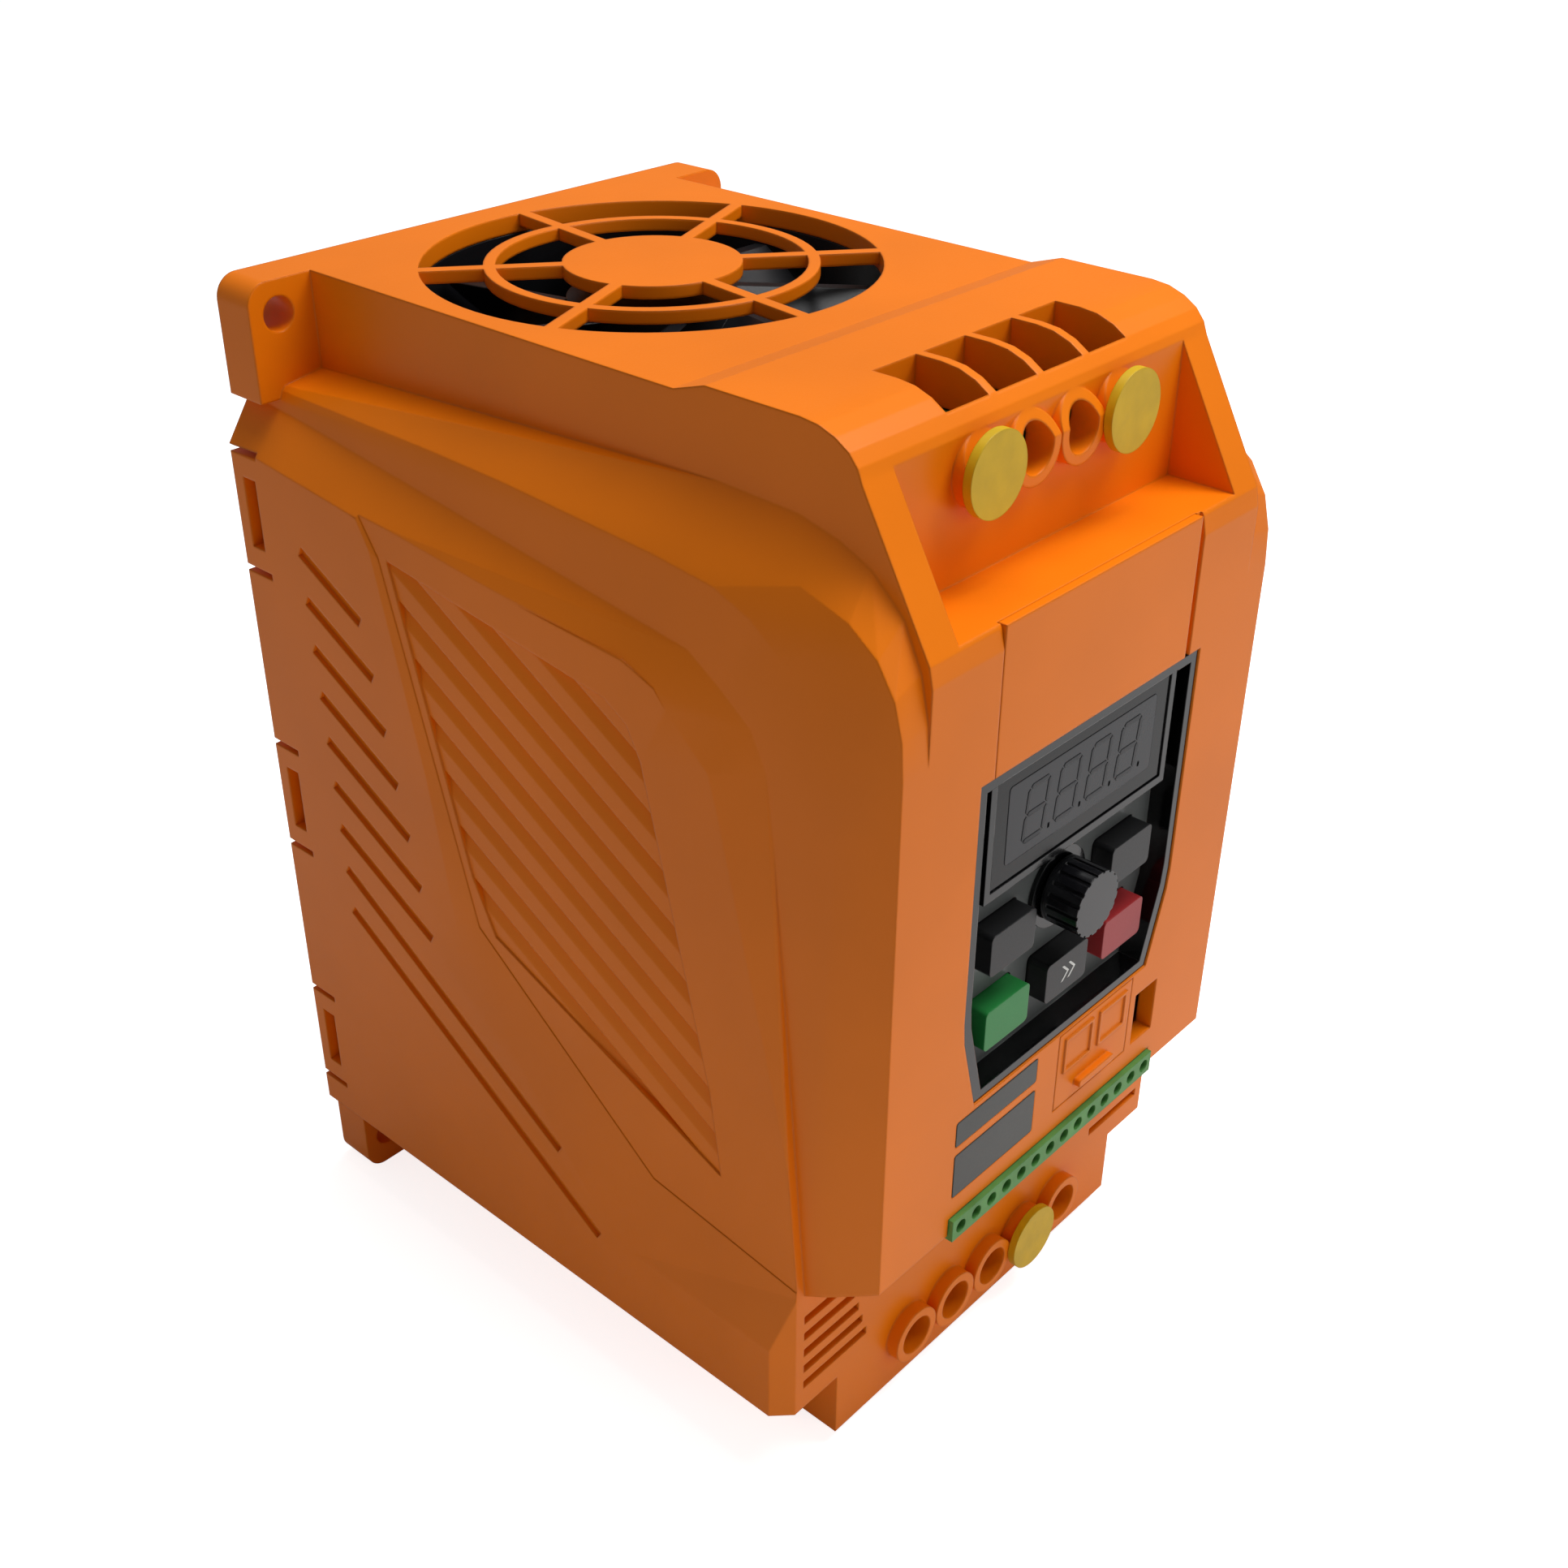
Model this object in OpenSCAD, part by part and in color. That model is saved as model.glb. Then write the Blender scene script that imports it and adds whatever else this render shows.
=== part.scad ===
// Wall-mounted variable frequency drive in a moulded plastic case with a top fan.
// Origin: centre of the four-screw mounting pattern, on the back plane of the case.
// +X right when facing the front, +Y towards the wall, +Z up; the front faces -Y. Millimetres.

/* [Case] */
// Overall width of the case across its side panels
body_w = 85; // [84:1:120]
// Overall height, from the lower ear tips to the top of the crown
body_h = 142.4; // [130:0.1:190]
// Depth from the back plane to the flat front face
body_d = 104.5; // [100:0.5:140]
// Wall thickness of the moulded case
wall = 2.4; // [1.6:0.1:3]

/* [Mounting ears] */
// Diameter of each mounting hole
hole_d = 4.4; // [3:0.1:6]
// Distance from the case side to the mounting hole centre
hole_side = 5.5; // [4.5:0.1:6.5]
// Distance from the ear tip to the mounting hole centre
hole_end = 5.7; // [4.5:0.1:8]
// Thickness of each mounting ear
ear_t = 6.5; // [4:0.5:9]

/* [Cooling] */
// Frame size of the square cooling fan
fan_size = 60; // [58:1:60]
// Thickness of the fan frame
fan_t = 15; // [10:1:20]
// Number of fan blades
fan_blades = 7; // [5:1:9]
// Spacing of the fan screws
fan_pitch = 50; // [48:1:50]
// Number of heatsink fins
fin_n = 14; // [8:1:18]
// Thickness of each heatsink fin
fin_t = 1.3; // [0.8:0.1:2]

/* [Power terminals] */
// Pitch of the power terminals, their wire cells and their driver holes
pole_pitch = 8.6; // [7:0.1:8.8]
// Number of input terminals at the top
poles_in = 4; // [3:1:4]
// Number of output terminals at the bottom
poles_out = 5; // [3:1:5]
// Inside diameter of each screwdriver guide tube
tube_d = 5.8; // [4.6:0.1:6]

/* [Control terminals] */
// Pitch of the control terminals
ctl_pitch = 3.2; // [2.5:0.1:3.2]
// Number of control terminals
ctl_n = 14; // [8:1:14]

/* [Keypad] */
// Width of the keypad panel
pad_w = 44; // [40:0.5:46]
// Height of the keypad panel
pad_h = 46; // [44:0.5:50]
// Diameter of the speed knob
knob_d = 8.8; // [7:0.1:10]
// Travel of each key when pressed
key_travel = 0.6; // [0.3:0.1:0.8]
// Gap round each part that fits into a window
fit = 0.15; // [0.1:0.05:0.3]

/* [Hidden] */
hw = body_w / 2;
zt = body_h / 2;
zb = -body_h / 2;
fy = -body_d;
tb = hw - 10.7;
deck_z = zt - 1.4;
pan_z = zb + 12.7;
low_z = zb + 2.2;
low_y = fy + 9.5;
front_z = zb + 37.7;
rib_z = zb + 32.9;
hx = hw - hole_side;
hz = zt - hole_end;
r_hole = hole_d / 2;
fan_y = -(fan_size / 2 + 3.9);
fan_top = deck_z - wall - 0.1;
fan_bot = fan_top - fan_t;
fan_r = fan_size / 2 - 1.1;
sink_f = -(fan_size + 4);
sink_t = 4;
sink_top = fan_bot - 2.3;
sink_bot = pan_z + 4.5;
sink_w = fan_size + 4;
pcb_b = sink_f - 8;
pcb_f = pcb_b - 1.6;
ctl_b = fy + 15.2;
ctl_f = ctl_b - 1.6;
kbd_b = ctl_f - 3.8;
kbd_f = kbd_b - 1.6;
rec_y = fy + 10;
rec_z = zt - 21.2;
rec_w = tb - 5;
term_y = rec_y + 2.1;
tin_z = zt - 8.7;
tout_z = zb + 10.2;
pad_z = zb + 79.7;
pad_t = 4.8;
pad_well = 3.4;
tray_y = fy + 0.2 + pad_well;
key1_z = pad_z - 2.7;
key2_z = pad_z - 13.8;
key_dx = 12.5;
key_w = 8.8;
key_h = 5.8;
key_out = 3;
knob_z = pad_z - 2.1;
knob_r = knob_d / 2;
knob_l = 5.2;
disp_w = 35.4;
disp_h = 15.2;
disp_z = pad_z + 14.2;
strip_w = ctl_n * ctl_pitch + 0.2;
strip_z = zb + 38.6;
strip_h = 3.3;
port_x = 7.6;
port_w = 16.6;
port_h = 12.2;
port_z = zb + 50;
aux_x = 20;
aux_w = 5.2;
aux_z = zb + 48.2;
aux_h = 8.4;
tube_r = tube_d / 2;
tube_o = tube_r + 1.3;
tube_l = 1.9;
cell_w = poles_in * pole_pitch / 2 + 1.2;
cover_t = 1.2;
bx = hw - 4.6;
back_top = zt - 19.6;
back_bot = pan_z + wall;
mod_z = -18;
mod_h = 30;
rect_z = 16;
cap_z = 0;
post_lo = pan_z + 14;
post_hi = zt - 59.4;
// Foot of the relay and the transformer.
tall_z = zt - 55.7;
cap_r = 7.6;
cap_h = 30;
tab_z = [zt - 31.2, zt - 74.1, zt - 116.5];

// Extrudes a (y, z) outline sideways, symmetric about X = 0.
module slab(w, pts) {
    rotate([90, 0, 90]) translate([0, 0, -w]) linear_extrude(2 * w) polygon(pts);
}

// Box given by its two corners.
module span(a, b) {
    translate(a) cube([b[0] - a[0], b[1] - a[1], b[2] - a[2]]);
}

// Cylinder along -Y that starts at y = y0.
module rod(x, y0, z, r, l) {
    translate([x, y0, z]) rotate([90, 0, 0]) cylinder(r = r, h = l, $fn = 48);
}

// Flat plate with rounded corners in the XZ plane, from y0 towards -Y.
module plate(x, z, w, h, r, y0, t) {
    translate([x, y0, z]) rotate([90, 0, 0]) linear_extrude(t) union() {
        square([w - 2 * r, h], center = true);
        square([w, h - 2 * r], center = true);
        for (i = [-1, 1], j = [-1, 1])
            translate([i * (w / 2 - r), j * (h / 2 - r)]) circle(r = r, $fn = 32);
    }
}

// Side outlines of the stepped shoulder, from the side panel inwards.
rear_edge = [[0, pan_z], [0, zt - 22.4], [-24, zt - 25.1], [-24, pan_z]];
side_edge = [[0, pan_z], [0, zt - 22.4], [-26, zt - 25.4], [-47, zt - 27.8],
    [fy + 35.5, zt - 29.6], [fy + 30.8, zt - 31.5], [fy + 26.8, zt - 36.3], [fy + 23.8, zt - 39.8],
    [fy + 22.7, zt - 44.4], [fy + 20.7, zt - 64], [fy + 18.8, zt - 80.5],
    [fy + 14.4, zt - 99], [low_y, rib_z - 1.5], [low_y, pan_z]];
mid_edge = [[0, rib_z], [0, zt - 16.8], [-12, zt - 18.1], [-34.4, zt - 21], [-48, zt - 23],
    [fy + 33, zt - 25.9], [fy + 27.4, zt - 26.4], [fy + 23.1, zt - 29.1],
    [fy + 18.4, zt - 32.6], [fy + 16.2, zt - 36.9], [fy + 14.9, zt - 47],
    [fy + 13.7, zt - 67.7], [fy + 10.5, rib_z + 2.5], [fy + 9.5, rib_z]];
out_edge = [[0, rib_z], [0, zt - 15.1], [-35, zt - 15.4], [-48, zt - 15.8],
    [fy + 33.3, zt - 17.2], [fy + 24.2, zt - 18.2], [fy + 19, zt - 20.2], [fy + 14.4, zt - 23.6],
    [fy + 10.8, zt - 28], [fy + 8.4, zt - 33.4], [fy + 7, zt - 39.8], [fy + 6.6, zt - 64],
    [fy + 6.4, rib_z + 1.5], [fy + 9.5, rib_z]];
lip_edge = [[0, rib_z], [0, zt - 14.9], [-51, zt - 14.3], [fy + 25.5, zt - 14.7],
    [fy + 14, zt - 15.6], [fy + 7.6, zt - 17.6], [fy + 3.8, zt - 20.4],
    [fy + 1.4, zt - 24.2], [fy + 0.3, zt - 28.4], [fy, zt - 33], [fy, front_z],
    [fy + 9.5, rib_z]];
wall_edge = [[0, rib_z], [0, zt - 14.1], [-51, zt - 11.7], [fy + 29.5, zt - 9.9],
    [fy + 18, zt - 10.3], [fy + 12.6, zt - 11.6], [fy + 8.3, zt - 13.5], [fy + 4, zt - 17.4],
    [fy + 1.5, zt - 22.6], [fy + 0.4, zt - 27.6], [fy, zt - 33], [fy, front_z],
    [fy + 9.5, rib_z]];
top_edge = [[0, zt - 40], [0, deck_z], [fy + 35.5, deck_z], [fy + 31, zt], [fy + 18, zt],
    [fy + 15.6, zt - 0.25], [fy + 13.4, zt - 1], [fy + 11.6, zt - 2.1], [fy + 10.4, zt - 3.5],
    [fy + 9.8, zt - 5], [fy + 0.5, zt - 21.6], [fy, zt - 24], [fy, zt - 40]];

// Step line that divides the proud rear panel from the sunken front panel: its foot on the
// sunken side, and the brow where its slope meets the proud side.
foot = [[-25.6, zt - 25], [-28.5, zt - 29.7], [-41, zb + 64.2], [fy + 33.5, zb + 38.7], [low_y - 1.5, zb + 33.9]];
brow = [[-25, zt - 25.2], [-27.3, zt - 30], [-37.6, zb + 58.7], [fy + 42, zb + 27.7], [low_y - 1.5, zb + 24.4]];
// Depth of the sunken panel at a distance y from the back.
function sink_depth(y) = 0.25 + (-y - 24) * 0.034;
// Point where the slope through foot f and brow b would leave the case by 1 mm.
function past(f, b) = [for (k = [0, 1]) f[k] + (b[k] - f[k]) * (1 + sink_depth(f[0])) / sink_depth(f[0])];

// Sloping run-out along one length of the step line, on the left side of the case.
module run_out(i) {
    polyhedron(points = [for (k = [i, i + 1]) each [[-hw - 1, foot[k][0], foot[k][1]],
            [-hw - 1, past(foot[k], brow[k])[0], past(foot[k], brow[k])[1]],
            [-hw + sink_depth(foot[k][0]) - 0.1, foot[k][0], foot[k][1]]]],
        faces = [[0, 1, 2], [5, 4, 3], [0, 3, 4], [0, 4, 1], [1, 4, 5], [1, 5, 2], [2, 5, 3], [2, 3, 0]]);
}

// Outline of the grooved field on the sunken panel.
field = [[-30, zt - 29.6], [fy + 38.5, zt - 35.4], [fy + 35.2, zt - 37.6], [fy + 33.2, zt - 41.6],
    [fy + 23.6, zb + 58.3], [fy + 22, zb + 46], [-44, zb + 64], [-40.4, zb + 72]];

// Half space outside the tilted sunken panel, d mm below its surface.
module sunken(d) {
    translate([-hw + sink_depth(0) + d, 0, 0]) rotate([0, 0, atan(0.034)])
        translate([-12, -body_d - 20, zb]) cube([12, body_d + 40, body_h]);
}

// Everything cut into the left side panel: the sunken front panel and both sets of grooves.
module side_cuts() {
    // Sunken panel, tilted so that it gets deeper towards the front.
    intersection() {
        rotate([90, 0, 90]) translate([0, 0, -hw - 1]) linear_extrude(6)
            polygon(concat(foot, [[fy - 2, zb + 34.9], [fy - 2, zt - 10], [-25.6, zt - 10]]));
        sunken(0);
    }
    for (i = [0:3]) run_out(i);
    // Shallow outlined field with long parallel grooves.
    intersection() {
        rotate([90, 0, 90]) translate([0, 0, -hw - 1]) linear_extrude(8) polygon(field);
        sunken(0.25);
    }
    intersection() {
        rotate([90, 0, 90]) translate([0, 0, -hw - 1]) linear_extrude(8) polygon(field);
        for (i = [-4:7]) translate([-hw + sink_depth(0), 0, 0]) rotate([0, 0, atan(0.034)])
            translate([0, -29, zt - 33 - i * 6.1]) rotate([32, 0, 0]) translate([0, 20, 0])
                rotate([90, 0, 0]) linear_extrude(100) polygon([[-3, 0], [1.15, 0], [0.1, -2.9], [-3, -2.9]]);
    }
    // Short slots on the proud rear panel, with two long ones below them.
    for (i = [0:8]) {
        l = i < 7 ? 12.8 + i * 1.3 : (i == 7 ? 49 : 57);
        translate([-hw - 1, -12.6 - i * 0.16, zt - 33.3 - i * 6.8]) rotate([i < 7 ? 29 : 32.5, 0, 0])
            translate([0, -l, -1.1]) cube([1.6, l, 1.6]);
    }
    // Snap tabs along the rear edge, each between two notches, with a catch window.
    for (z = tab_z) {
        span([-hw - 1, -5.4, z + 7.8], [-hw + 5.2, 1, z + 8.7]);
        span([-hw - 1, -5.4, z - 8.7], [-hw + 5.2, 1, z - 7.8]);
        span([-hw - 1, -4.6, z - 4.8], [-hw + 5.2, -2, z + 4.8]);
    }
}

// Outline of the keypad panel, grown by g; its lower corners are cut back.
module pad_outline(g) {
    w = pad_w / 2 + g;
    h = pad_h / 2 + g;
    polygon([[-w, h], [w, h], [w, -h + 14], [w - 0.3, -h + 11], [w - 3.2, -h],
        [-w + 3.2, -h], [-w + 0.3, -h + 11], [-w, -h + 14]]);
}

// Wire cells above one terminal row; s = 1 at the top, -1 at the bottom.
module cells(n, z0, z1) {
    for (i = [0:n - 1])
        span([(i - (n - 1) / 2) * pole_pitch - pole_pitch / 2 + 0.65, rec_y + 1.6, z0],
            [(i - (n - 1) / 2) * pole_pitch + pole_pitch / 2 - 0.65, rec_y + 11.4, z1]);
}

module housing() {
    color([0.93, 0.48, 0.12]) difference() {
        union() {
            // Side panels, stepped shoulder bands and front face.
            slab(hw, side_edge);
            hull() { slab(hw, rear_edge); slab(hw - 2, side_edge); slab(hw - 3.9, mid_edge); }
            hull() { slab(hw - 3.9, mid_edge); slab(hw - 4.5, out_edge); }
            hull() { slab(hw - 4.5, out_edge); slab(hw - 6.5, lip_edge); slab(tb, wall_edge); }
            // Top block with the crown, and the block below the panels.
            slab(tb, top_edge);
            span([-tb, low_y, low_z], [tb, 0, pan_z + 1]);
            // Four mounting ears.
            for (s = [-1, 1], t = [-1, 1]) ear(s, t);
            // Guide tubes round the lower screwdriver holes.
            for (i = [0:poles_out - 1])
                rod((i - (poles_out - 1) / 2) * pole_pitch, low_y + 0.5, tout_z, tube_o, tube_l + 0.5);
        }
        for (s = [0, 1]) mirror([s, 0, 0]) side_cuts();
        // Front corner of each proud side panel, eased back.
        for (s = [0, 1]) mirror([s, 0, 0])
            translate([-hw, low_y, pan_z - 1]) rotate([0, 0, 45])
                translate([-1.7, -1.7, 0]) cube([3.4, 3.4, rib_z - pan_z + 6]);
        // Crown recess with its sloping arms, round the upper guide tubes.
        difference() {
            span([-rec_w, fy - 5, rec_z], [rec_w, rec_y, zt - 3.4]);
            for (i = [0:poles_in - 1])
                rod((i - (poles_in - 1) / 2) * pole_pitch, rec_y + 0.5, tin_z, tube_o, tube_l + 0.5);
        }
        // Main cavity, open at the back for the back plate.
        span([-bx, fy + 26, back_bot], [bx, 1, zt - 31]);
        span([-hw + 7, fy + 26, zt - 31.5], [hw - 7, 1, back_top]);
        span([-hw + 7, fy + 12, back_bot], [hw - 7, fy + 26.5, zt - 37]);
        span([-hw + 9.5, fy + wall, front_z + wall + 0.2], [hw - 9.5, fy + 12.5, zt - 37]);
        // Fan duct below the deck and terminal space behind the crown.
        span([-fan_size / 2 - 0.1, fan_y - fan_size / 2 - 0.1, back_top - 1],
            [fan_size / 2 + 0.1, fan_y + fan_size / 2 + 0.1, fan_top + 0.1]);
        difference() {
            span([-tb + 2, rec_y + 1.9, zt - 38], [tb - 2, fan_y - fan_size / 2 + 0.2, zt - wall]);
            span([-cell_w, rec_y, zt - 5], [cell_w, rec_y + 12.6, zt]);
        }
        span([-tb + 2, fy + wall, zt - 38], [tb - 2, rec_y + 2, rec_z - wall]);
        // Lower block cavity for the output terminals.
        difference() {
            span([-tb + 2, low_y + wall, low_z + wall], [tb - 2, -wall, back_bot + 1]);
            span([-tb, low_y, low_z], [tb, rec_y + 12.6, low_z + 5]);
        }
        // Grille ring above the fan.
        translate([0, fan_y, fan_top - 0.5]) difference() {
            cylinder(r = fan_r, h = wall + 2, $fn = 96);
            translate([0, 0, -1]) cylinder(r = fan_r * 0.391, h = wall + 4, $fn = 96);
            translate([0, 0, -1]) difference() {
                cylinder(r = fan_r * 0.727, h = wall + 4, $fn = 96);
                translate([0, 0, -1]) cylinder(r = fan_r * 0.675, h = wall + 6, $fn = 96);
            }
            for (k = [0:5]) rotate([0, 0, k * 60 + 22])
                translate([0, -0.85, -1]) cube([fan_r + 2, 1.7, wall + 4]);
        }
        // The grille is thinner than the deck round it.
        translate([0, fan_y, fan_top - 0.5]) cylinder(r = fan_r, h = 1.4, $fn = 96);
        // Wire cells at the top and at the bottom.
        cells(poles_in, zt - 5, zt + 2);
        cells(poles_out, low_z - 1, low_z + 6);
        // Screwdriver holes.
        for (i = [0:poles_in - 1])
            rod((i - (poles_in - 1) / 2) * pole_pitch, rec_y + 4, tin_z, tube_r, 10);
        for (i = [0:poles_out - 1])
            rod((i - (poles_out - 1) / 2) * pole_pitch, low_y + 4, tout_z, tube_r, 10);
        // Mounting holes.
        for (s = [-1, 1], t = [-1, 1]) rod(s * hx, 1, t * hz, r_hole, ear_t + 2);
        // Fan screw holes in the deck.
        for (s = [-1, 1], t = [-1, 1])
            translate([s * fan_pitch / 2, fan_y + t * fan_pitch / 2, fan_top - 1])
                cylinder(r = 1.5, h = 1 + 0.1 + 1.7, $fn = 32);
        // Keypad opening, and the window above it that the centre cover closes.
        translate([0, fy + wall + 1, pad_z]) rotate([90, 0, 0]) linear_extrude(wall + 3) pad_outline(fit);
        span([-pad_w / 2 + 2.2, fy - 1, pad_z + pad_h / 2 - 1], [pad_w / 2 - 3.2, fy + cover_t, rec_z + 1]);
        // Groove to the right of the centre cover.
        span([pad_w / 2 - 3.4, fy - 1, pad_z + pad_h / 2 - 1], [pad_w / 2 - 2.4, fy + 1, rec_z + 1]);
        // Slots for the control terminals, the data port and the small side connector.
        span([-strip_w / 2 - fit, fy - 3, strip_z - strip_h / 2 - 4], [strip_w / 2 + fit, fy + 13, strip_z + strip_h / 2 + fit]);
        span([port_x - port_w / 2 - fit, fy - 1, port_z - port_h / 2 - fit],
            [port_x + port_w / 2 + fit, fy + wall + 1, port_z + port_h / 2 + fit]);
        span([aux_x - aux_w / 2, fy - 1, aux_z - aux_h / 2], [aux_x + aux_w / 2, fy + wall + 1, aux_z + aux_h / 2]);
        // Seats for the two label plates.
        plate(-13.9, zb + 53.8, 16.8, 3.9, 0.4, fy + 0.5, 2);
        plate(-13.9, zb + 47.1, 16.8, 6.9, 0.4, fy + 0.5, 2);
        // Vent slots at both sides of the lower block.
        for (s = [0, 1]) mirror([s, 0, 0]) for (i = [0:4])
            span([-hw + 4, low_y - 1, pan_z + 3.6 + i * 2.9], [-hw + 16.5 - i * 0.9, low_y + wall + 2, pan_z + 4.9 + i * 2.9]);
        // Air inlet slots below the heatsink.
        for (i = [-6:6]) span([i * 4.3 - 1.2, sink_f + 6, low_z - 1], [i * 4.3 + 1.2, -9, low_z + wall + 1]);
    }
    // Rails that hold the heatsink plate by its side edges.
    color([0.93, 0.48, 0.12]) for (s = [-1, 1]) {
        x0 = s * sink_w / 2 + s * 0.15;
        difference() {
            span([min(x0 - s * 2.4, s * bx), sink_f - 2.1, sink_bot + 6], [max(x0 - s * 2.4, s * bx), sink_f + sink_t + 2.1, sink_top - 8]);
            span([min(x0 - s * 5, x0), sink_f - 0.1, sink_bot], [max(x0 - s * 5, x0), sink_f + sink_t + 0.1, sink_top]);
            span([min(x0 - s * 2.6, x0 - s * 0.4) , sink_f + sink_t, sink_bot], [max(x0 - s * 2.6, x0 - s * 0.4), sink_f + sink_t + 3, sink_top]);
        }
    }
}

// One mounting ear; s and t choose its corner.
module ear(s, t) {
    x1 = hw - 1.3;
    difference() {
        span([s > 0 ? tb - 1 : -x1, -ear_t, t > 0 ? zt - 16.2 : zb + 0.1],
            [s > 0 ? x1 : -tb + 1, 0, t > 0 ? deck_z : pan_z + 1]);
        translate([s * (x1 - 3), 1, t > 0 ? deck_z - 3 : zb + 3.1]) rotate([90, 0, 0])
            difference() {
                translate([s > 0 ? 0 : -4, t > 0 ? 0 : -4, 0]) cube([4, 4, ear_t + 2]);
                translate([0, 0, -1]) cylinder(r = 3, h = ear_t + 4, $fn = 48);
            }
    }
}

module back_plate() {
    w = bx - fit;
    color([0.80, 0.40, 0.10]) difference() {
        union() {
            span([-w, -2.4, back_bot + fit], [w, 0, zt - 31.2 - fit]);
            span([-hw + 7 + fit, -2.4, zt - 32], [hw - 7 - fit, 0, back_top - fit]);
            for (z = tab_z, s = [-1, 1])
                span([s > 0 ? w - 0.3 : -w - 3.2, -4.4, z - 4.6], [s > 0 ? w + 3.2 : -w + 0.3, -2.2, z + 4.6]);
            for (z = tab_z, s = [-1, 1])
                span([s > 0 ? w - 1.6 : -w, -4.4, z - 4.6], [s > 0 ? w : -w + 1.6, -1, min(z + 4.6, zt - 31.4)]);
        }
        // Shallow rectangular relief on the wall side.
        span([-w + 6, -0.5, back_bot + 8], [w - 6, 1, zt - 40]);
    }
}

module heatsink() {
    color([0.72, 0.73, 0.75]) union() {
        span([-sink_w / 2, sink_f, sink_bot], [sink_w / 2, sink_f + sink_t, sink_top]);
        for (i = [0:fin_n - 1])
            translate([-sink_w / 2 + 3.4 + i * (sink_w - 6.8 - fin_t) / (fin_n - 1), sink_f + sink_t - 0.5, sink_bot])
                cube([fin_t, -sink_f - sink_t - 2.8 + 0.5 - 2, sink_top - sink_bot]);
    }
}

module fan_frame() {
    h = fan_size / 2;
    color([0.09, 0.09, 0.10]) translate([0, fan_y, fan_bot]) difference() {
        union() {
            difference() {
                translate([-h, -h, 0]) cube([2 * h, 2 * h, fan_t]);
                translate([0, 0, -1]) cylinder(r = fan_r, h = fan_t + 2, $fn = 96);
            }
            // Motor seat and its four struts.
            cylinder(r = fan_r * 0.42, h = 1.4, $fn = 64);
            for (k = [0:3]) rotate([0, 0, k * 90 + 20]) translate([0, -1.4, 0]) cube([fan_r + 0.6, 2.8, 1.4]);
        }
        for (s = [-1, 1], t = [-1, 1]) translate([s * fan_pitch / 2, t * fan_pitch / 2, -1])
            cylinder(r = 1.6, h = fan_t + 2, $fn = 32);
        translate([0, 0, -1]) cylinder(r = 2, h = 4, $fn = 32);
    }
}

module fan_stator() {
    color([0.65, 0.42, 0.22]) translate([0, fan_y, fan_bot + 1.4]) difference() {
        union() {
            cylinder(r = fan_r * 0.3, h = 6.5, $fn = 48);
            cylinder(r = 3.2, h = 8.5, $fn = 48);
        }
        translate([0, 0, 1]) cylinder(r = 1.04, h = 10, $fn = 32);
    }
}

module fan_rotor() {
    rh = fan_r * 0.38;
    color([0.06, 0.06, 0.07]) translate([0, fan_y, fan_bot]) union() {
        difference() {
            translate([0, 0, 2.4]) cylinder(r = rh, h = 10.8, $fn = 64);
            translate([0, 0, 1]) cylinder(r = rh - 1.3, h = 10.4, $fn = 64);
        }
        translate([0, 0, 3.6]) cylinder(r = 1, h = 8.4, $fn = 32);
        intersection() {
            difference() {
                translate([0, 0, 2.6]) cylinder(r = fan_r - 1, h = 10.2, $fn = 96);
                cylinder(r = rh - 0.6, h = 20, $fn = 64);
            }
            for (k = [0:fan_blades - 1]) rotate([0, 0, k * 360 / fan_blades])
                translate([0, 0, 7.6]) rotate([38, 0, 0]) translate([rh - 2, -9, -0.6]) cube([fan_r, 18, 1.2]);
        }
    }
}

module fan_screws() {
    color([0.75, 0.75, 0.77]) for (s = [-1, 1], t = [-1, 1])
        translate([s * fan_pitch / 2, fan_y + t * fan_pitch / 2, 0]) difference() {
            union() {
                translate([0, 0, fan_bot - 1.8]) cylinder(r = 2.8, h = 1.8, $fn = 32);
                translate([0, 0, fan_bot - 0.2]) cylinder(r = 1.4, h = fan_t + 1.8, $fn = 32);
            }
            translate([-0.4, -2, fan_bot - 2.8]) cube([0.8, 4, 1.8]);
            translate([-2, -0.4, fan_bot - 2.8]) cube([4, 0.8, 1.8]);
        }
}

module centre_cover() {
    color([0.95, 0.50, 0.13])
        span([-pad_w / 2 + 2.2 + fit, fy, pad_z + pad_h / 2 + fit], [pad_w / 2 - 3.4, fy + cover_t, rec_z]);
}

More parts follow.
